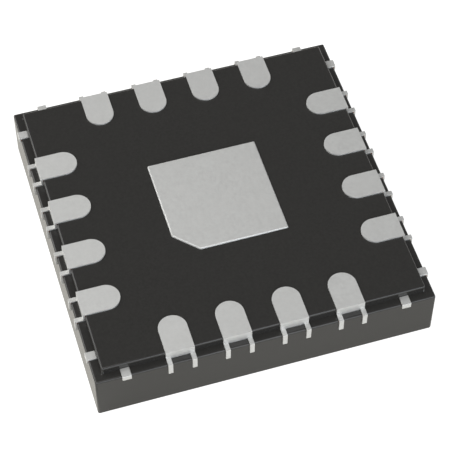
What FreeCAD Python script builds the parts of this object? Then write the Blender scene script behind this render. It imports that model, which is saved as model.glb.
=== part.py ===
"""A quad flat no-lead chip (QFN), sixteen leads, 3 mm square, lying on its marked face with its pads up.

The frame: the origin is the centre of the marked face, which the chip lies on, and +Z points from
there to the solder pads. All lengths are millimetres.

How the real chip is built, from the pads inwards:
  lead frame   one copper strip, chemically etched to sixteen forked leads and one die paddle that
               four tie bars hold. Etching to half the thickness leaves bond fingers at the leads'
               inner ends and a rim round the paddle, which lock the metal into the plastic.
  die          a square of silicon, glued to the paddle's inner face.
  bond wires   one from each bond pad on the die to each lead's finger, ball bond to stitch bond.
  body         epoxy moulded round all of it. A saw cut leaves a ledge round the pad side, where the
               plated lead ends take solder that can be inspected from outside.

Pins count clockwise seen from the pad side, from the chamfered corner of the exposed pad.
"""

import FreeCAD, Part
import math
import os

from FreeCAD import Vector

# moulded body
BODY_WIDTH = 3.0          # across the sawn sides
BODY_HEIGHT = 0.57        # marked face to the plastic face between the pads
LEDGE_WIDTH = 0.075       # the saw-cut step round the pad side, inwards from the sawn side
LEDGE_DEPTH = 0.075       # and down from the plastic face
MARK_DIAMETER = 0.25      # shallow round pin-one mark in the marked face
MARK_DEPTH = 0.015
MARK_FROM_SIDE = 0.35     # its centre from both sides of the pin-one corner

# lead frame
STANDOFF = 0.015          # plated metal above the plastic, on the pad side and on the ledge
FLANK_PROUD = 0.015       # plated metal out of the step's wall and the sawn side
FRAME_THICKNESS = 0.203   # pad face to the inner face that carries die and wires
ETCHED_THICKNESS = 0.1    # what etching leaves of it at fingers and rim
LEADS_PER_SIDE = 4
LEAD_PITCH = 0.5
LEAD_WIDTH = 0.25
LEAD_LENGTH = 0.415       # sawn side to the pad's round inner end
FINGER_LENGTH = 0.1       # etched bond finger past that end
TAB_WIDTH = 0.04          # each of the two prongs that cross the ledge
EXPOSED_PAD_WIDTH = 1.0
PIN_ONE_CHAMFER = 0.2     # along both edges of the exposed pad's marked corner
PADDLE_RIM = 0.15         # etched rim round the exposed pad
TIE_BAR_WIDTH = 0.08
TIE_BAR_THICKNESS = 0.04  # copper left of a tie bar under the ledge, etched from both faces
TIE_END_FROM_SIDE = 0.27  # centre of each sawn tie-bar end from the corner's other side

# die and wires
DIE_WIDTH = 0.9
DIE_THICKNESS = 0.12
GLUE_THICKNESS = 0.02
GLUE_FILLET = 0.03        # glue squeezed out past each die edge
BOND_PAD_PITCH = 0.2
BOND_PAD_INSET = 0.07     # bond pad centre from the die's edge
WIRE_DIAMETER = 0.025
WIRE_FLATS = 12           # flats that stand for a wire's round
BALL_DIAMETER = 0.06
BALL_HEIGHT = 0.016
LOOP_HEIGHT = 0.08        # wire's centreline at the top of its loop, off the die
LOOP_SHARE = 0.3          # of the way to the lead, before the wire slopes back
STITCH_SETBACK = 0.065    # where the wire meets its lead, outwards from the finger's end

# levels, up from the marked face
LEDGE_Z = BODY_HEIGHT - LEDGE_DEPTH
PAD_Z = BODY_HEIGHT + STANDOFF
FRAME_Z = PAD_Z - FRAME_THICKNESS
ETCHED_Z = FRAME_Z + ETCHED_THICKNESS
PLATED_LEDGE_Z = LEDGE_Z + STANDOFF
TIE_Z = LEDGE_Z - TIE_BAR_THICKNESS
DIE_BACK_Z = FRAME_Z - GLUE_THICKNESS
DIE_FACE_Z = DIE_BACK_Z - DIE_THICKNESS

# distances out from the centre
SIDE = BODY_WIDTH / 2
WALL = SIDE - LEDGE_WIDTH
LEAD_END = SIDE - LEAD_LENGTH
FINGER_END = LEAD_END - FINGER_LENGTH
METAL_SIDE = SIDE + FLANK_PROUD

SIDES = 4
QUARTER_TURN = 90.0
MITRED_CORNERS = 1        # how a pipe shell turns at the points of its path
UP = Vector(0, 0, 1)


def block(x, y, z):
    """A box between the two values of each pair."""
    corner = Vector(min(x), min(y), min(z))
    return Part.makeBox(abs(x[1] - x[0]), abs(y[1] - y[0]), abs(z[1] - z[0]), corner)


def prism(points, z):
    """A flat outline of straight edges, raised between two levels."""
    outline = Part.makePolygon([Vector(x, y, z[0]) for x, y in points + points[:1]])
    return Part.Face(outline).extrude(Vector(0, 0, z[1] - z[0]))


def turned(shape, quarter_turns):
    """A copy turned about the chip's centre line."""
    copy = shape.copy()
    copy.rotate(Vector(0, 0, 0), UP, QUARTER_TURN * quarter_turns)
    return copy


def joined(shapes):
    """Several solids of one piece as one solid with no seams between them."""
    return shapes[0].multiFuse(shapes[1:]).removeSplitter()


def spread(count, pitch):
    """Places of a centred row."""
    return [(i - (count - 1) / 2) * pitch for i in range(count)]


def moulded_block():
    """The plastic before anything is let into it: a slab, its sawn step and its pin-one mark."""
    slab = block((-SIDE, SIDE), (-SIDE, SIDE), (0, LEDGE_Z))
    plateau = block((-WALL, WALL), (-WALL, WALL), (LEDGE_Z, BODY_HEIGHT))
    mark_centre = Vector(MARK_FROM_SIDE - SIDE, MARK_FROM_SIDE - SIDE, 0)
    mark = Part.makeCylinder(MARK_DIAMETER / 2, MARK_DEPTH, mark_centre)
    return joined([slab, plateau]).cut(mark)


def tongue(inner_end, z):
    """A lead's bar from the step's wall to a round inner end, for the far side, centred on X."""
    half = LEAD_WIDTH / 2
    centre_y = inner_end + half
    wall_left, wall_right = Vector(-half, WALL, z[0]), Vector(half, WALL, z[0])
    left, right = Vector(-half, centre_y, z[0]), Vector(half, centre_y, z[0])
    tip = Vector(0, inner_end, z[0])
    outline = Part.Wire([
        Part.LineSegment(wall_left, left).toShape(),
        Part.Arc(left, tip, right).toShape(),
        Part.LineSegment(right, wall_right).toShape(),
        Part.LineSegment(wall_right, wall_left).toShape(),
    ])
    return Part.Face(outline).extrude(Vector(0, 0, z[1] - z[0]))


def lead():
    """One lead of the far side: pad, etched finger, plated end and the two prongs over the ledge."""
    half = LEAD_WIDTH / 2
    pad = tongue(LEAD_END, (FRAME_Z, PAD_Z))
    finger = tongue(FINGER_END, (FRAME_Z, ETCHED_Z))
    plated_end = block((-half, half), (WALL, WALL + FLANK_PROUD), (LEDGE_Z, PAD_Z))
    prongs = [
        block((side * half, side * (half - TAB_WIDTH)), (WALL, METAL_SIDE), (FRAME_Z, PLATED_LEDGE_Z))
        for side in (-1, 1)
    ]
    return joined([pad, finger, plated_end] + prongs)


def chamfered_square(width, chamfer, z):
    """A square plate with its pin-one corner cut off."""
    half = width / 2
    corners = [(-half + chamfer, -half), (half, -half), (half, half), (-half, half), (-half, -half + chamfer)]
    return prism(corners, z)


def tie_bar():
    """The tie bar of the +X +Y corner: a diagonal that forks to one sawn end on each side."""
    half = TIE_BAR_WIDTH / 2
    fork = SIDE - TIE_END_FROM_SIDE
    skew = half * math.sqrt(2)
    inside = (TIE_Z, LEDGE_Z)
    diagonal = prism([(skew, 0), (fork + half, fork - skew + half), (fork - skew + half, fork + half),
                      (0, skew)], inside)
    branch = block((fork - half, fork + half), (fork - half, METAL_SIDE), inside)
    plated_end = block((fork - half, fork + half), (WALL, METAL_SIDE), (TIE_Z, PLATED_LEDGE_Z))
    far = joined([diagonal, branch, plated_end])
    across = far.mirror(Vector(0, 0, 0), Vector(1, -1, 0))
    return joined([far, across])


def die_paddle():
    """The exposed pad, its etched rim and the four tie bars, etched from one piece of strip."""
    exposed = chamfered_square(EXPOSED_PAD_WIDTH, PIN_ONE_CHAMFER, (FRAME_Z, PAD_Z))
    # an edge moved out by the rim keeps the chamfer's line parallel at the rim's own width
    rim_chamfer = PIN_ONE_CHAMFER + PADDLE_RIM * (2 - math.sqrt(2))
    rim = chamfered_square(EXPOSED_PAD_WIDTH + 2 * PADDLE_RIM, rim_chamfer, (FRAME_Z, ETCHED_Z))
    bars = [turned(tie_bar(), k) for k in range(SIDES)]
    return joined([exposed, rim] + bars)


def silicon_die():
    half = DIE_WIDTH / 2
    return block((-half, half), (-half, half), (DIE_FACE_Z, DIE_BACK_Z))


def die_glue():
    half = DIE_WIDTH / 2 + GLUE_FILLET
    return block((-half, half), (-half, half), (DIE_BACK_Z, FRAME_Z))


def ring(centre, radius):
    """A level outline round a bond wire's axis, drawn with flats."""
    angles = [2 * math.pi * k / WIRE_FLATS for k in range(WIRE_FLATS)]
    corners = [centre + Vector(radius * math.cos(a), radius * math.sin(a), 0) for a in angles]
    return Part.makePolygon(corners + corners[:1])


def bond_wire(pad_x, lead_x):
    """One wire of the far side: a flattened ball on the die, a low loop, and down onto the finger."""
    start = Vector(pad_x, DIE_WIDTH / 2 - BOND_PAD_INSET, DIE_FACE_Z)
    stitch = Vector(lead_x, FINGER_END + STITCH_SETBACK, FRAME_Z)
    neck = start - UP * LOOP_HEIGHT
    flat = Vector(stitch.x - start.x, stitch.y - start.y, 0) * LOOP_SHARE
    shoulder = neck + flat
    # the wire's end runs on through the finger's face, where a slanting cut makes its stitch
    slope = stitch - shoulder
    past = stitch + slope * (2 * WIRE_DIAMETER / slope.Length)
    sweep = Part.BRepOffsetAPI.MakePipeShell(Part.makePolygon([start, neck, shoulder, past]))
    sweep.add(ring(start, WIRE_DIAMETER / 2))
    sweep.setTransitionMode(MITRED_CORNERS)
    sweep.build()
    sweep.makeSolid()
    ball = Part.Face(ring(start, BALL_DIAMETER / 2)).extrude(UP * -BALL_HEIGHT)
    above_finger = block((-SIDE, SIDE), (-SIDE, SIDE), (FRAME_Z, PAD_Z))
    return joined([sweep.shape(), ball]).cut(above_finger)


def pieces():
    """Every piece by name, in place. Side 0 is the left one, and the sides follow clockwise."""
    made = {}
    lead_places = spread(LEADS_PER_SIDE, LEAD_PITCH)
    pad_places = spread(LEADS_PER_SIDE, BOND_PAD_PITCH)
    for side in range(SIDES):
        for i, (lead_x, pad_x) in enumerate(zip(lead_places, pad_places)):
            pin = side * LEADS_PER_SIDE + i + 1
            here = lead()
            here.translate(Vector(lead_x, 0, 0))
            made[f"lead_{pin:02d}"] = turned(here, 1 - side)
            made[f"bond_wire_{pin:02d}"] = turned(bond_wire(pad_x, lead_x), 1 - side)
    made["die_paddle"] = die_paddle()
    made["silicon_die"] = silicon_die()
    made["die_glue"] = die_glue()
    made["moulded_body"] = moulded_block().cut(list(made.values()))
    return made


def main():
    os.makedirs("parts", exist_ok=True)
    for name, shape in sorted(pieces().items()):
        solids = shape.Solids
        whole = solids[0] if len(solids) == 1 else Part.makeCompound(solids)
        whole.exportStep(f"parts/{name}.step")
        print(f"{name}: {len(solids)} solid, {whole.Volume:.6f} mm3, valid {whole.isValid()}")


main()
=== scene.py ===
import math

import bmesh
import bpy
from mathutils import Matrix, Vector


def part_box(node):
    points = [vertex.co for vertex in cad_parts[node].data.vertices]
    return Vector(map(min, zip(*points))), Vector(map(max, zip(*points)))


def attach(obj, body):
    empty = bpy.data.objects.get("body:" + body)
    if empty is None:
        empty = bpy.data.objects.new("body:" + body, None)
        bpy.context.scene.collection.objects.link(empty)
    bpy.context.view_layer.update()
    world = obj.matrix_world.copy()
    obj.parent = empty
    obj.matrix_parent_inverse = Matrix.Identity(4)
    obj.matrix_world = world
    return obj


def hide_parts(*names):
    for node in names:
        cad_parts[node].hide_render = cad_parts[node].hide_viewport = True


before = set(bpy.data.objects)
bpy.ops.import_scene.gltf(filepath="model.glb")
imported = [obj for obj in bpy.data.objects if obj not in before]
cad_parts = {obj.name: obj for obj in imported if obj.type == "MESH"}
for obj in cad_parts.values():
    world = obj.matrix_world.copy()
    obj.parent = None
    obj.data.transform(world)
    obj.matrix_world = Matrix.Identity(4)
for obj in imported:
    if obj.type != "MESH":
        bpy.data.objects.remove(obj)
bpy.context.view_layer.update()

# A sixteen-lead quad flat no-lead chip, lying on its marked face with its plated pads up.
#
# The chip is dark epoxy moulded round an etched copper lead frame. Only the tin-plated faces of the metal show:
# round-ended solder pads, the prongs that cross the sawn ledge, the sawn ends of the tie bars and the exposed pad.
# Inside are the etched bond fingers, the paddle's rim, the silicon die, its glue and the gold bond wires.
#
# Sizes are held in metres, as Blender's own, and pieces are shaped in millimetres, because its bevel and merge
# limits are too coarse for a chip in metres.

bl_info = {
    "name": "Quad flat no-lead chip",
    "version": (1, 0, 0),
    "blender": (4, 5, 0),
    "location": "3D View > Sidebar > Chip",
    "description": "Builds a quad flat no-lead chip, pads up, with its lead frame, die, wires and a plain stage",
    "category": "Object",
}

MM = 0.001

SIDES = 4
LEADS_PER_SIDE = 4
QUARTER_TURN = math.pi / 2
X_AXIS, Y_AXIS, Z_AXIS = Vector((1, 0, 0)), Vector((0, 1, 0)), Vector((0, 0, 1))

# how far a normal points along an axis: more that way than another, or square to it
MOSTLY, SQUARELY = 0.5, 0.99

# in millimetres: corners closer than MERGE become one, a corner within ON_PLANE of a cut lies on it, and a face is
# inside the plastic when it lies deeper than HAIR
MERGE = 1e-4
ON_PLANE = 1e-6
HAIR = 1e-4

# straight steps in the half circle of a pad's round end, and in each quarter of the pin-one mark
ROUND_END_STEPS = 32
MARK_QUARTER_STEPS = 12

BODY_LOW, BODY_HIGH = (Vector(corner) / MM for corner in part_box("moulded_body"))
LEAD_LOW, LEAD_HIGH = (Vector(corner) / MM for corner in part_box("lead_06"))
NEXT_LEAD_LOW, _ = (Vector(corner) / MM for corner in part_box("lead_07"))
GLUE_LOW, GLUE_HIGH = (Vector(corner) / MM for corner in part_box("die_glue"))
DIE_LOW, DIE_HIGH = (Vector(corner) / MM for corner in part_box("silicon_die"))


def linear_from_hex(text):
    """The linear colour of an sRGB value such as #33332f."""
    values = (int(text[i:i + 2], 16) / 255 for i in (1, 3, 5))
    return tuple(v / 12.92 if v <= 0.04045 else ((v + 0.055) / 1.055) ** 2.4 for v in values)


def length_property(name, description, millimetres):
    """A length, given in millimetres and held in metres."""
    return bpy.props.FloatProperty(name=name, description=description, default=millimetres * MM,
                                   unit="LENGTH", min=0.0, precision=6)


def colour_property(name, description, text):
    """A colour, given as an sRGB hex value and held as linear."""
    return bpy.props.FloatVectorProperty(name=name, description=description, subtype="COLOR", size=3,
                                         min=0.0, max=1.0, default=linear_from_hex(text))


class ChipSizes(bpy.types.PropertyGroup):
    """Sizes of the moulding and its metal, in metres. Outer sizes come from the frame"""

    ledge_width: length_property("Ledge width", "Sawn ledge, from the side of the body to the step's wall", 0.075)
    ledge_depth: length_property("Ledge depth", "Sawn ledge, down from the plastic between the pads", 0.075)
    plastic_edge: length_property("Plastic edge", "Round on each edge of the plastic", 0.016)
    metal_edge: length_property("Metal edge", "Round on each edge of the plated metal", 0.004)
    exposed_edge: length_property("Exposed edge", "Wider round on the exposed pad, which draws its light rim", 0.012)
    mark_diameter: length_property("Pin-one mark", "Diameter of the round mark in the marked face", 0.25)
    mark_depth: length_property("Mark depth", "Depth of the round mark", 0.015)
    mark_from_side: length_property("Mark from side", "Centre of the mark from both sides of its corner", 0.35)
    finger_length: length_property("Finger length", "Etched bond finger past the pad's round end", 0.1)
    etched_thickness: length_property("Etched thickness", "Copper left where it is etched from one face", 0.1)
    prong_width: length_property("Prong width", "Each of a lead's two prongs over the ledge", 0.04)
    exposed_pad: length_property("Exposed pad", "Width of the square pad in the middle", 1.0)
    paddle_rim: length_property("Paddle rim", "Etched rim round the exposed pad, inside the plastic", 0.15)
    pin_one_chamfer: length_property("Pin-one chamfer", "Cut corner of the exposed pad, along both edges", 0.2)
    tie_width: length_property("Tie-bar width", "Width of a tie bar and of its sawn ends", 0.08)
    tie_thickness: length_property("Tie-bar thickness", "Copper of a tie bar under the ledge", 0.04)
    tie_from_side: length_property("Tie end from side", "Centre of a tie-bar end from the corner's other side", 0.27)


class ChipColours(bpy.types.PropertyGroup):
    """Colours of the chip and its stage"""

    plastic: colour_property("Plastic", "Silica-filled epoxy", "#2c2b29")
    tin: colour_property("Tin", "Matte tin plating", "#dadad8")
    copper: colour_property("Copper", "Etched copper inside the plastic", "#c77b58")
    silicon: colour_property("Silicon", "Polished face of the die", "#3b3d45")
    glue: colour_property("Die glue", "Silver-filled epoxy", "#b9b7b0")
    gold: colour_property("Gold", "Bond wire", "#f0c560")
    floor: colour_property("Floor", "Plain pale floor", "#b2b2b0")


class ChipStage(bpy.types.PropertyGroup):
    """Camera and lamps"""

    azimuth: bpy.props.FloatProperty(name="Azimuth", description="Camera's turn about the chip", subtype="ANGLE",
                                     default=math.radians(-16.978))
    elevation: bpy.props.FloatProperty(name="Elevation", description="Camera's height above the floor",
                                       subtype="ANGLE", default=math.radians(54.028))
    roll: bpy.props.FloatProperty(name="Roll", description="Camera's turn about its own axis", subtype="ANGLE",
                                  default=math.radians(0.114))
    distance: length_property("Distance", "Camera to the point that it looks at", 16.156)
    aim_right: length_property("Aim right", "Point looked at, right of the chip's middle", 0.0706)
    aim_down: length_property("Aim down", "Point looked at, below the chip's middle", 0.246)
    lens: bpy.props.FloatProperty(name="Lens", description="Focal length on a 36 mm sensor", default=146.7,
                                  min=1.0, unit="CAMERA")
    front: bpy.props.FloatProperty(name="Front softbox", description="Brightness of the wide softbox in front",
                                   default=2.5, min=0.0)
    upper: bpy.props.FloatProperty(name="Upper softbox", description="Brightness of the softbox above the front one",
                                   default=2.2, min=0.0)
    left: bpy.props.FloatProperty(name="Left softbox", description="Brightness of the softbox at the far left",
                                  default=2.4, min=0.0)
    overhead: bpy.props.FloatProperty(name="Overhead softbox", description="Brightness of the softbox overhead",
                                      default=2.4, min=0.0)
    surround: bpy.props.FloatProperty(name="Surround", description="Brightness of the room's even light",
                                      default=0.28, min=0.0)
    card_white: bpy.props.FloatProperty(name="Card white", default=0.86, min=0.0,
                                        description="White that the floor adds for the camera")
    card_reflected: bpy.props.FloatProperty(name="Card reflected", default=0.47, min=0.0,
                                            description="White that the floor adds in reflections")


PROPERTY_GROUPS = {"chip_sizes": ChipSizes, "chip_colours": ChipColours, "chip_stage": ChipStage}


def in_millimetres(sizes):
    """A function that reads one size in millimetres."""
    return lambda name: getattr(sizes, name) / MM


# materials


def add_node(tree, kind, inputs=None, links=None, **settings):
    """Adds a node with its settings, its fixed inputs and the sockets that feed it."""
    node = tree.nodes.new(kind)
    for name, value in settings.items():
        setattr(node, name, value)
    for name, value in (inputs or {}).items():
        node.inputs[name].default_value = value
    for name, socket in (links or {}).items():
        tree.links.new(socket, node.inputs[name])
    return node


def new_material(name):
    """An empty material with its node tree and output."""
    material = bpy.data.materials.new(name)
    material.use_nodes = True
    tree = material.node_tree
    tree.nodes.clear()
    return material, tree, tree.nodes.new("ShaderNodeOutputMaterial")


def per_metre(millimetres):
    """A noise texture's scale for grains of this size, on coordinates in metres."""
    return 1 / (millimetres * MM)


# almost all of a noise texture's values lie between these two
NOISE_LOW, NOISE_HIGH = 0.3, 0.7


def speckled_material(name, colour, grain, shade, roughness, spread, relief, **surface):
    """A surface whose colour, roughness and height vary with grains of one size in millimetres."""
    material, tree, output = new_material(name)
    place = add_node(tree, "ShaderNodeTexCoord")
    grains = add_node(tree, "ShaderNodeTexNoise", {"Scale": per_metre(grain), "Detail": 3.0, "Roughness": 0.6},
                      {"Vector": place.outputs["Object"]})
    dark = tuple(c * (1 - shade) for c in colour) + (1.0,)
    light = tuple(min(c * (1 + shade), 1.0) for c in colour) + (1.0,)
    tint = add_node(tree, "ShaderNodeValToRGB", links={"Fac": grains.outputs["Fac"]})
    tint.color_ramp.elements[0].position = NOISE_LOW
    tint.color_ramp.elements[0].color = dark
    tint.color_ramp.elements[1].position = NOISE_HIGH
    tint.color_ramp.elements[1].color = light
    gloss = add_node(tree, "ShaderNodeMapRange", {"From Min": NOISE_LOW, "From Max": NOISE_HIGH,
                                                  "To Min": roughness - spread, "To Max": roughness + spread},
                     {"Value": grains.outputs["Fac"]})
    height = add_node(tree, "ShaderNodeBump", {"Strength": 0.3, "Distance": relief * MM},
                      {"Height": grains.outputs["Fac"]})
    shader = add_node(tree, "ShaderNodeBsdfPrincipled", surface,
                      {"Base Color": tint.outputs["Color"], "Roughness": gloss.outputs["Result"],
                       "Normal": height.outputs["Normal"]})
    tree.links.new(shader.outputs["BSDF"], output.inputs["Surface"])
    return material


def epoxy_material(colours):
    # Epoxy filled with ground silica and moulded against a polished tool: near black, with a low even sheen and a
    # grain of filler of about 0.02 mm that only a close look finds.
    return speckled_material("Silica-filled epoxy", tuple(colours.plastic), grain=0.02, shade=0.12, roughness=0.2,
                             spread=0.02, relief=0.0001, IOR=1.5)


def tin_material(colours):
    # Matte tin, electroplated: fine even crystals of about 0.01 mm, drawn a little coarser so that they show, give a
    # pale grey satin with no mirror in it.
    return speckled_material("Matte tin plating", tuple(colours.tin), grain=0.025, shade=0.035, roughness=0.68,
                             spread=0.04, relief=0.0004, Metallic=1.0)


def copper_material(colours):
    # Copper strip, etched in a spray: its half-thickness faces come out finely pitted and dull.
    return speckled_material("Etched copper", tuple(colours.copper), grain=0.02, shade=0.08, roughness=0.45,
                             spread=0.08, relief=0.0006, Metallic=1.0)


def silicon_material(colours):
    # Silicon, polished and passivated: dark, slightly blue and nearly a mirror.
    return speckled_material("Passivated silicon", tuple(colours.silicon), grain=0.05, shade=0.05, roughness=0.12,
                             spread=0.02, relief=0.00005, Metallic=0.6)


def glue_material(colours):
    # Epoxy glue filled with silver flakes and cured: pale grey with a soft uneven glint.
    return speckled_material("Silver-filled glue", tuple(colours.glue), grain=0.01, shade=0.15, roughness=0.4,
                             spread=0.1, relief=0.001, Metallic=0.8)


def gold_material(colours):
    # Gold wire, drawn and annealed: smooth and yellow, with faint draw marks.
    return speckled_material("Drawn gold wire", tuple(colours.gold), grain=0.01, shade=0.04, roughness=0.22,
                             spread=0.04, relief=0.0001, Metallic=1.0)


MATERIALS = {}


def material_once(make, colours):
    """One material of each kind, shared by the pieces that have it."""
    if make not in MATERIALS:
        MATERIALS[make] = make(colours)
    return MATERIALS[make]


# shaping


def slab(low, high):
    """A bmesh of a box between two corners, in millimetres."""
    bm = bmesh.new()
    bmesh.ops.create_cube(bm, size=1)
    size = Vector(high) - Vector(low)
    bmesh.ops.scale(bm, vec=size, verts=bm.verts)
    bmesh.ops.translate(bm, vec=(Vector(high) + Vector(low)) / 2, verts=bm.verts)
    return bm


def raise_faces(bm, faces, offset):
    """Extrudes faces as one region and moves the new ones by an offset."""
    made = bmesh.ops.extrude_face_region(bm, geom=faces)["geom"]
    bmesh.ops.delete(bm, geom=faces, context="FACES")
    bmesh.ops.translate(bm, vec=offset, verts=[v for v in made if isinstance(v, bmesh.types.BMVert)])


def raise_from(bm, faces, offset):
    """Extrudes a flat plan into a closed solid, keeping the plan as its floor."""
    made = bmesh.ops.extrude_face_region(bm, geom=faces, use_keep_orig=True)["geom"]
    verts = [v for v in made if isinstance(v, bmesh.types.BMVert)]
    bmesh.ops.translate(bm, vec=offset, verts=verts)


def cut_faces(bm, faces, point, normal):
    """Cuts only these faces along a plane."""
    # keys of a dict, so that each comes once and always in the same order
    geom = list(dict.fromkeys(g for f in faces for g in (f, *f.edges, *f.verts)))
    bmesh.ops.bisect_plane(bm, geom=geom, plane_co=point, plane_no=normal, dist=ON_PLANE)


def faces_where(bm, test):
    """Faces whose centre and normal pass a test."""
    bm.normal_update()
    return [f for f in bm.faces if test(f.calc_center_median(), f.normal)]


def round_edges(bm, width, segments=3, flat=0.01, least=math.radians(35)):
    """Rounds the convex edges that turn by more than an angle. Only rounds and round ends are shaded smooth."""
    bm.normal_update()
    # an edge that turns by less than flat only divides a flat face
    for face in bm.faces:
        face.smooth = sum(flat < e.calc_face_angle(0.0) < least for e in face.edges) > 1
    edges = [e for e in bm.edges if e.is_convex and e.calc_face_angle(0.0) > least]
    rounds = bmesh.ops.bevel(bm, geom=edges, offset=width, offset_type="OFFSET", segments=segments, profile=0.5,
                             affect="EDGES", material=-1, clamp_overlap=True, loop_slide=True)
    # the small faces where rounds meet at a corner stay flat, or they would bend the shading of the long ones
    for face in rounds["faces"]:
        face.smooth = max(e.calc_length() for e in face.edges) > width


def finished_piece(name, bm, materials, nodes, turn=0.0, copper_where=None):
    """Turns a bmesh in millimetres into a shaded piece in metres that stands for CAD nodes."""
    bmesh.ops.recalc_face_normals(bm, faces=bm.faces)
    for face in bm.faces:
        if copper_where and copper_where(face.calc_center_median()):
            face.material_index = 1
    bmesh.ops.transform(bm, matrix=Matrix.Rotation(turn, 4, "Z") @ Matrix.Scale(MM, 4), verts=bm.verts)
    mesh = bpy.data.meshes.new(name)
    bm.to_mesh(mesh)
    bm.free()
    for material in materials:
        mesh.materials.append(material)
    piece = bpy.data.objects.new(name, mesh)
    bpy.context.scene.collection.objects.link(piece)
    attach(piece, "root")
    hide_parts(*nodes)


class CHIP_OT_body(bpy.types.Operator):
    """Moulds the epoxy body: a square slab, the sawn ledge round its pad side and the pin-one mark"""

    bl_idname = "chip.body"
    bl_label = "Moulded body"

    def execute(self, context):
        mm = in_millimetres(context.scene.chip_sizes)
        ledge_z = BODY_HIGH.z - mm("ledge_depth")
        bm = slab(BODY_LOW, (BODY_HIGH.x, BODY_HIGH.y, ledge_z))
        top = faces_where(bm, lambda centre, normal: normal.z > MOSTLY)
        bmesh.ops.inset_region(bm, faces=top, thickness=mm("ledge_width"), use_even_offset=True)
        plateau = faces_where(bm, lambda centre, normal: normal.z > MOSTLY and centre.xy.length < mm("ledge_width"))
        raise_faces(bm, plateau, (0, 0, mm("ledge_depth")))
        round_edges(bm, mm("plastic_edge"))
        self.press_mark(bm, mm)
        finished_piece("epoxy_body", bm, [material_once(epoxy_material, context.scene.chip_colours)],
                       ["moulded_body"])
        return {"FINISHED"}

    def press_mark(self, bm, mm):
        """Lets the round mark into the underside, from a square whose corners are rounded."""
        radius = mm("mark_diameter") / 2
        centre = Vector((BODY_LOW.x + mm("mark_from_side"), BODY_LOW.y + mm("mark_from_side"), BODY_LOW.z))
        for axis in (X_AXIS, Y_AXIS):
            for side in (-1, 1):
                under = faces_where(bm, lambda middle, normal: normal.z < -SQUARELY)
                cut_faces(bm, under, centre + axis * side * radius, axis)

        def in_mark(middle, normal):
            return normal.z < -SQUARELY and (middle - centre).length < radius / 2

        square = faces_where(bm, in_mark)
        # rounding all four corners by half the square's width leaves a circle
        bmesh.ops.bevel(bm, geom=square[0].verts, offset=radius, offset_type="OFFSET", segments=MARK_QUARTER_STEPS,
                        profile=0.5, affect="VERTICES", material=-1, clamp_overlap=True)
        bmesh.ops.remove_doubles(bm, verts=bm.verts, dist=MERGE)
        raise_faces(bm, faces_where(bm, in_mark), (0, 0, mm("mark_depth")))
        # only the mark's round wall is shaded smooth
        for face in faces_where(bm, lambda middle, normal: (middle - centre).length < radius * 1.01):
            face.smooth = abs(face.normal.z) < MOSTLY


class CHIP_OT_leads(bpy.types.Operator):
    """Shapes the sixteen leads: round-ended pad, etched bond finger and two prongs over the ledge"""

    bl_idname = "chip.leads"
    bl_label = "Leads"

    def execute(self, context):
        mm = in_millimetres(context.scene.chip_sizes)
        colours = context.scene.chip_colours
        materials = [material_once(tin_material, colours), material_once(copper_material, colours)]
        pitch = NEXT_LEAD_LOW.x - LEAD_LOW.x
        for side in range(SIDES):
            for i in range(LEADS_PER_SIDE):
                pin = side * LEADS_PER_SIDE + i + 1
                bm = self.lead(mm)
                across = (i - (LEADS_PER_SIDE - 1) / 2) * pitch
                bmesh.ops.translate(bm, vec=(across, 0, 0), verts=bm.verts)
                finished_piece(f"plated_lead_{pin:02d}", bm, materials, [f"lead_{pin:02d}"],
                               turn=(1 - side) * QUARTER_TURN, copper_where=inside_plastic(mm))
        return {"FINISHED"}

    def lead(self, mm):
        """One lead of the far side, centred on X."""
        half = (LEAD_HIGH.x - LEAD_LOW.x) / 2
        wall = BODY_HIGH.y - mm("ledge_width")
        proud = LEAD_HIGH.y - BODY_HIGH.y
        inner_end = LEAD_LOW.y + mm("finger_length")
        low, high = LEAD_LOW.z, LEAD_HIGH.z
        etched = low + mm("etched_thickness")
        ledge_top = BODY_HIGH.z - mm("ledge_depth") + (high - BODY_HIGH.z)
        # the pad's plan: one side, the round end spun from its corner, the other side
        bm = bmesh.new()
        middle = Vector((0, inner_end + half, low))
        outer = [bm.verts.new((x, wall + proud, low)) for x in (half, -half)]
        start = bm.verts.new(middle + X_AXIS * half)
        bm.edges.new((outer[0], start))
        bmesh.ops.spin(bm, geom=[start], cent=middle, axis=-Z_AXIS, angle=math.pi, steps=ROUND_END_STEPS)
        spun = (v for v in bm.verts if v not in outer)
        last = min(spun, key=lambda v: (v.co - middle + X_AXIS * half).length)
        bm.edges.new((last, outer[1]))
        bm.edges.new(outer)
        plan = bmesh.ops.contextual_create(bm, geom=bm.edges)["faces"]
        raise_from(bm, plan, (0, 0, high - low))
        bmesh.ops.recalc_face_normals(bm, faces=bm.faces)

        # the finger goes on from the lower part of the round end
        def in_round_end(centre, normal):
            return abs(normal.z) < MOSTLY and centre.y < middle.y

        cut_faces(bm, faces_where(bm, in_round_end), (0, 0, etched), Z_AXIS)
        tip = faces_where(bm, lambda centre, normal: in_round_end(centre, normal) and centre.z < etched)
        raise_faces(bm, tip, (0, -mm("finger_length"), 0))

        # the prongs grow from the plated end's two lower corners
        def in_lower_end(centre, normal):
            return normal.y > SQUARELY and centre.z < ledge_top

        inner = half - mm("prong_width")
        cut_faces(bm, faces_where(bm, lambda centre, normal: normal.y > SQUARELY), (0, 0, ledge_top), Z_AXIS)
        for side in (-1, 1):
            cut_faces(bm, faces_where(bm, in_lower_end), X_AXIS * side * inner, X_AXIS)
        for side in (-1, 1):
            root = faces_where(bm, lambda centre, normal: in_lower_end(centre, normal) and side * centre.x > inner)
            raise_faces(bm, root, (0, LEAD_HIGH.y - wall - proud, 0))
        round_edges(bm, mm("metal_edge"))
        split_at_plastic(bm, mm)
        return bm


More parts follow.
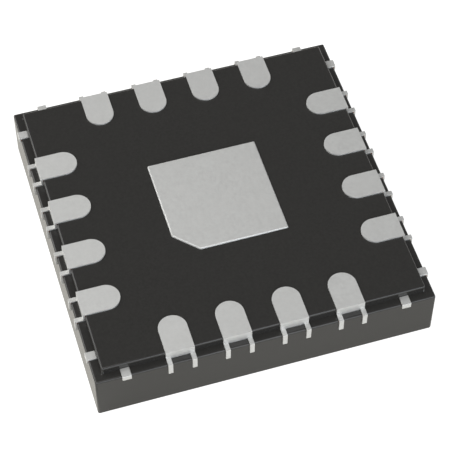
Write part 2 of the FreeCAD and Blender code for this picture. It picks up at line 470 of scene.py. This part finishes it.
def split_at_plastic(bm, mm):
    """Cuts the metal's faces along the plastic's faces, so that each is all plated or all bare."""
    planes = [(Z_AXIS * level, Z_AXIS) for level in (BODY_HIGH.z, BODY_HIGH.z - mm("ledge_depth"))]
    for axis in (X_AXIS, Y_AXIS):
        planes += [(axis * reach, axis) for reach in (BODY_HIGH.x - mm("ledge_width"), BODY_HIGH.x)]
    for point, normal in planes:
        cut_faces(bm, bm.faces, point, normal)


def inside_plastic(mm):
    """A test for faces that the plastic covers, which are bare copper."""
    ledge_z = BODY_HIGH.z - mm("ledge_depth")
    wall = BODY_HIGH.y - mm("ledge_width")

    def test(centre):
        reach = max(abs(centre.x), abs(centre.y))
        under_plateau = centre.z < BODY_HIGH.z - HAIR and reach < wall - HAIR
        under_ledge = centre.z < ledge_z - HAIR and reach < BODY_HIGH.y - HAIR
        return under_plateau or under_ledge
    return test


class CHIP_OT_paddle(bpy.types.Operator):
    """Shapes the die paddle: exposed pad with its cut corner, etched rim and four forked tie bars"""

    bl_idname = "chip.paddle"
    bl_label = "Die paddle"

    def execute(self, context):
        mm = in_millimetres(context.scene.chip_sizes)
        colours = context.scene.chip_colours
        bm = self.paddle(mm)
        for corner in range(SIDES):
            bar = self.tie_bar(mm)
            bmesh.ops.rotate(bar, cent=(0, 0, 0), matrix=Matrix.Rotation(corner * QUARTER_TURN, 3, "Z"),
                             verts=bar.verts)
            mesh = bpy.data.meshes.new("tie bar")
            bar.to_mesh(mesh)
            bar.free()
            bm.from_mesh(mesh)
            bpy.data.meshes.remove(mesh)
        materials = [material_once(tin_material, colours), material_once(copper_material, colours)]
        finished_piece("exposed_pad_and_tie_bars", bm, materials, ["die_paddle"],
                       copper_where=inside_plastic(mm))
        return {"FINISHED"}

    def paddle(self, mm):
        """The etched plate with its cut corner, and the exposed pad raised from it."""
        low, high = LEAD_LOW.z, LEAD_HIGH.z
        half = mm("exposed_pad") / 2 + mm("paddle_rim")
        bm = slab((-half, -half, low), (half, half, low + mm("etched_thickness")))
        upright = [e for e in bm.edges if all(v.co.x < 0 and v.co.y < 0 for v in e.verts)]
        # the rim's chamfer line runs parallel to the exposed pad's, one rim's width outside it
        chamfer = mm("pin_one_chamfer") + mm("paddle_rim") * (2 - math.sqrt(2))
        bmesh.ops.bevel(bm, geom=upright, offset=chamfer, offset_type="OFFSET", segments=1, profile=0.5,
                        affect="EDGES", material=-1)
        top = faces_where(bm, lambda centre, normal: normal.z > MOSTLY)
        bmesh.ops.inset_region(bm, faces=top, thickness=mm("paddle_rim"), use_even_offset=True)
        pad = faces_where(bm, lambda centre, normal: normal.z > MOSTLY and centre.xy.length < mm("exposed_pad") / 4)
        raise_faces(bm, pad, (0, 0, high - low - mm("etched_thickness")))
        round_edges(bm, mm("exposed_edge"))
        split_at_plastic(bm, mm)
        return bm

    def tie_bar(self, mm):
        """The tie bar of the +X +Y corner, from under the exposed pad to its two sawn ends."""
        half = mm("tie_width") / 2
        skew = half * math.sqrt(2)
        fork = BODY_HIGH.x - mm("tie_from_side")
        inner = mm("exposed_pad") / 2
        sawn = LEAD_HIGH.y
        wall = BODY_HIGH.x - mm("ledge_width")
        ledge_z = BODY_HIGH.z - mm("ledge_depth")
        low = ledge_z - mm("tie_thickness")
        plan = [(inner + skew / 2, inner - skew / 2), (fork - half + skew, fork - half), (sawn, fork - half),
                (sawn, fork + half), (fork + half, fork + half), (fork + half, sawn), (fork - half, sawn),
                (fork - half, fork - half + skew), (inner - skew / 2, inner + skew / 2)]
        bm = bmesh.new()
        corners = [bm.verts.new((x, y, low)) for x, y in plan]
        raise_from(bm, [bm.faces.new(corners)], (0, 0, ledge_z - low))
        bmesh.ops.recalc_face_normals(bm, faces=bm.faces)
        for axis in (X_AXIS, Y_AXIS):
            top = faces_where(bm, lambda centre, normal: normal.z > MOSTLY)
            cut_faces(bm, top, axis * wall, axis)
        # what lies past the step's wall is plated and stands proud of the ledge
        ends = faces_where(bm, lambda centre, normal: normal.z > MOSTLY and max(centre.x, centre.y) > wall)
        for end in ends:
            raise_faces(bm, [end], (0, 0, LEAD_HIGH.z - BODY_HIGH.z))
        round_edges(bm, mm("metal_edge"))
        split_at_plastic(bm, mm)
        return bm


class CHIP_OT_die(bpy.types.Operator):
    """Shapes the silicon die and the glue that holds it to the paddle"""

    bl_idname = "chip.die"
    bl_label = "Die and glue"

    def execute(self, context):
        colours = context.scene.chip_colours
        mm = in_millimetres(context.scene.chip_sizes)
        die = slab(DIE_LOW, DIE_HIGH)
        round_edges(die, mm("metal_edge"), segments=2)
        finished_piece("die", die, [material_once(silicon_material, colours)], ["silicon_die"])
        glue = slab(GLUE_LOW, GLUE_HIGH)
        # the glue's free edge slopes in from the paddle, half of the way to the die's side
        shrink = (DIE_HIGH.x + GLUE_HIGH.x) / 2 / GLUE_HIGH.x
        on_die = faces_where(glue, lambda centre, normal: normal.z < -MOSTLY)[0]
        bmesh.ops.scale(glue, vec=(shrink, shrink, 1), verts=on_die.verts)
        round_edges(glue, mm("metal_edge"), segments=2)
        finished_piece("glue_layer", glue, [material_once(glue_material, colours)], ["die_glue"])
        return {"FINISHED"}


class CHIP_OT_bond_wires(bpy.types.Operator):
    """Gives the frame's sixteen bond wires, from the die to the leads' fingers, their gold"""

    bl_idname = "chip.bond_wires"
    bl_label = "Bond wires"

    def execute(self, context):
        colours = context.scene.chip_colours
        for pin in range(1, SIDES * LEADS_PER_SIDE + 1):
            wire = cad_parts[f"bond_wire_{pin:02d}"]
            wire.data.materials.clear()
            wire.data.materials.append(material_once(gold_material, colours))
        return {"FINISHED"}


WHITE = (1.0, 1.0, 1.0, 1.0)

# in millimetres: wide enough that its edge never shows, and a hair below the chip, so that no two faces share a plane
FLOOR_WIDTH = 400.0
FLOOR_LEVEL = -0.001

# what the floor adds is white for the camera, and a little warm in reflections, as the chip's near side shows it
FLOOR_TINTS = ("#ffffff", "#fffaee")

# the white backdrop fades out between these heights in a reflection, as the sine of the angle above the floor
BACKDROP_FADE = (0.15, 0.45)

# each softbox: the setting with its brightness, place and size in millimetres, and colour
SOFTBOXES = (
    # cool and wide, so that it draws a light line along the whole of each near edge
    ("front", (4.5, -21.7, 9.6), (34, 16), "#eef5ff"),
    # over the front one, so that what faces up and forwards is light too
    ("upper", (4.1, -13.7, 19.4), (9, 9), "#ffffff"),
    # lights the left side and draws the line along its edge
    ("left", (-16.6, 12, 12.5), (20, 18), "#ffffff"),
    # off the point overhead, or the plastic would mirror it in a view from straight above
    ("overhead", (-11.5, -2, 23.3), (14, 14), "#fffdf8"),
)


class CHIP_OT_stage(bpy.types.Operator):
    """Sets the pale floor, the softboxes, the room's light and the camera"""

    bl_idname = "chip.stage"
    bl_label = "Stage"

    def execute(self, context):
        scene = context.scene
        scene.view_settings.view_transform = "Standard"
        self.floor(scene)
        self.lamps(scene)
        self.world(scene)
        self.camera(scene)
        return {"FINISHED"}

    def looked_at(self, tree):
        """Two sockets: one is 1 for the camera's rays, the other for those of reflections and of glass."""
        ray = add_node(tree, "ShaderNodeLightPath")
        reflected = add_node(tree, "ShaderNodeMath", links={0: ray.outputs["Is Glossy Ray"],
                                                            1: ray.outputs["Is Transmission Ray"]},
                             operation="MAXIMUM")
        return ray.outputs["Is Camera Ray"], reflected.outputs[0]

    def card_glow(self, tree, stage):
        """White that the card adds for the camera and in reflections, but casts on nothing."""
        glows = []
        strengths = (stage.card_white, stage.card_reflected)
        for rays, strength, colour in zip(self.looked_at(tree), strengths, FLOOR_TINTS):
            glow = add_node(tree, "ShaderNodeMath", {1: strength}, {0: rays}, operation="MULTIPLY")
            glows.append(add_node(tree, "ShaderNodeEmission", {"Color": linear_from_hex(colour) + (1.0,)},
                                  {"Strength": glow.outputs[0]}))
        return add_node(tree, "ShaderNodeAddShader", links={i: glow.outputs[0] for i, glow in enumerate(glows)})

    def floor(self, scene):
        """A white card under the chip, which keeps the chip's shadow."""
        bm = bmesh.new()
        bmesh.ops.create_grid(bm, x_segments=1, y_segments=1, size=FLOOR_WIDTH / 2 * MM)
        bmesh.ops.translate(bm, vec=(0, 0, FLOOR_LEVEL * MM), verts=bm.verts)
        mesh = bpy.data.meshes.new("floor")
        bm.to_mesh(mesh)
        bm.free()
        floor = bpy.data.objects.new("floor", mesh)
        scene.collection.objects.link(floor)
        material, tree, output = new_material("White card")
        card = add_node(tree, "ShaderNodeBsdfDiffuse", {"Color": tuple(scene.chip_colours.floor) + (1.0,)})
        glow = self.card_glow(tree, scene.chip_stage)
        both = add_node(tree, "ShaderNodeAddShader", links={0: card.outputs[0], 1: glow.outputs[0]})
        tree.links.new(both.outputs[0], output.inputs["Surface"])
        mesh.materials.append(material)

    def lamps(self, scene):
        """Softboxes that face the chip. The brightness of each is that of its face."""
        for setting, place, size, colour in SOFTBOXES:
            name = f"{setting} softbox"
            lamp = bpy.data.lights.new(name, "AREA")
            lamp.color = linear_from_hex(colour)
            lamp.shape = "RECTANGLE"
            lamp.size, lamp.size_y = size[0] * MM, size[1] * MM
            lamp.energy = getattr(scene.chip_stage, setting) * math.pi * lamp.size * lamp.size_y
            softbox = bpy.data.objects.new(name, lamp)
            softbox.location = Vector(place) * MM
            softbox.rotation_euler = Vector(place).to_track_quat("Z", "Y").to_euler()
            scene.collection.objects.link(softbox)

    def world(self, scene):
        """The room's dim even light, and a white backdrop for the camera and for low reflections."""
        world = bpy.data.worlds.new("Room")
        scene.world = world
        world.use_nodes = True
        tree = world.node_tree
        tree.nodes.clear()
        room = add_node(tree, "ShaderNodeBackground", {"Color": WHITE, "Strength": scene.chip_stage.surround})
        backdrop = add_node(tree, "ShaderNodeBackground", {"Color": WHITE, "Strength": 1.0})
        seen, reflected = self.looked_at(tree)
        # reflections show the white backdrop too, up to its top edge, and over that the dim room
        way = add_node(tree, "ShaderNodeTexCoord")
        height = add_node(tree, "ShaderNodeSeparateXYZ", links={"Vector": way.outputs["Generated"]})
        fade_from, fade_to = BACKDROP_FADE
        below = add_node(tree, "ShaderNodeMapRange",
                         {"From Min": fade_from, "From Max": fade_to, "To Min": 1.0, "To Max": 0.0},
                         {"Value": height.outputs["Z"]}, interpolation_type="SMOOTHSTEP")
        low = add_node(tree, "ShaderNodeMath", links={0: reflected, 1: below.outputs[0]}, operation="MULTIPLY")
        either = add_node(tree, "ShaderNodeMath", links={0: seen, 1: low.outputs[0]}, operation="MAXIMUM")
        mix = add_node(tree, "ShaderNodeMixShader", links={0: either.outputs[0], 1: room.outputs[0],
                                                           2: backdrop.outputs[0]})
        add_node(tree, "ShaderNodeOutputWorld", links={"Surface": mix.outputs[0]})

    def camera(self, scene):
        """A long lens, turned, tilted and aimed as the photograph was taken."""
        stage = scene.chip_stage
        turn, tilt = stage.azimuth, stage.elevation
        back = Vector((math.sin(turn) * math.cos(tilt), -math.cos(turn) * math.cos(tilt), math.sin(tilt)))
        right = Vector((math.cos(turn), math.sin(turn), 0))
        up = back.cross(right)
        upright = Matrix((right, up, back)).transposed()
        axes = upright @ Matrix.Rotation(stage.roll, 3, "Z")
        aim = axes @ Vector((stage.aim_right, -stage.aim_down, 0)) + Vector((0, 0, BODY_HIGH.z * MM))
        data = bpy.data.cameras.new("camera")
        data.sensor_width = 36.0
        data.lens = stage.lens
        data.clip_start = 1 * MM
        camera = bpy.data.objects.new("camera", data)
        camera.matrix_world = Matrix.Translation(aim + back * stage.distance) @ axes.to_4x4()
        scene.collection.objects.link(camera)
        scene.camera = camera


OPERATORS = (CHIP_OT_body, CHIP_OT_leads, CHIP_OT_paddle, CHIP_OT_die, CHIP_OT_bond_wires, CHIP_OT_stage)


class CHIP_PT_sidebar(bpy.types.Panel):
    """Lists the chip's pieces and its stage"""

    bl_idname = "CHIP_PT_sidebar"
    bl_label = "Quad flat no-lead chip"
    bl_space_type = "VIEW_3D"
    bl_region_type = "UI"
    bl_category = "Chip"

    def draw(self, context):
        for group in PROPERTY_GROUPS:
            box = self.layout.box()
            settings = getattr(context.scene, group)
            for name in settings.__annotations__:
                box.prop(settings, name)
        for operator in OPERATORS:
            self.layout.operator(operator.bl_idname)


CLASSES = (*PROPERTY_GROUPS.values(), *OPERATORS, CHIP_PT_sidebar)


def register():
    for cls in CLASSES:
        bpy.utils.register_class(cls)
    for name, group in PROPERTY_GROUPS.items():
        setattr(bpy.types.Scene, name, bpy.props.PointerProperty(type=group))


def unregister():
    for name in PROPERTY_GROUPS:
        delattr(bpy.types.Scene, name)
    for cls in reversed(CLASSES):
        bpy.utils.unregister_class(cls)


def main():
    register()
    bpy.ops.chip.body()
    bpy.ops.chip.leads()
    bpy.ops.chip.paddle()
    bpy.ops.chip.die()
    bpy.ops.chip.bond_wires()
    bpy.ops.chip.stage()


if __name__ == "__main__":
    main()
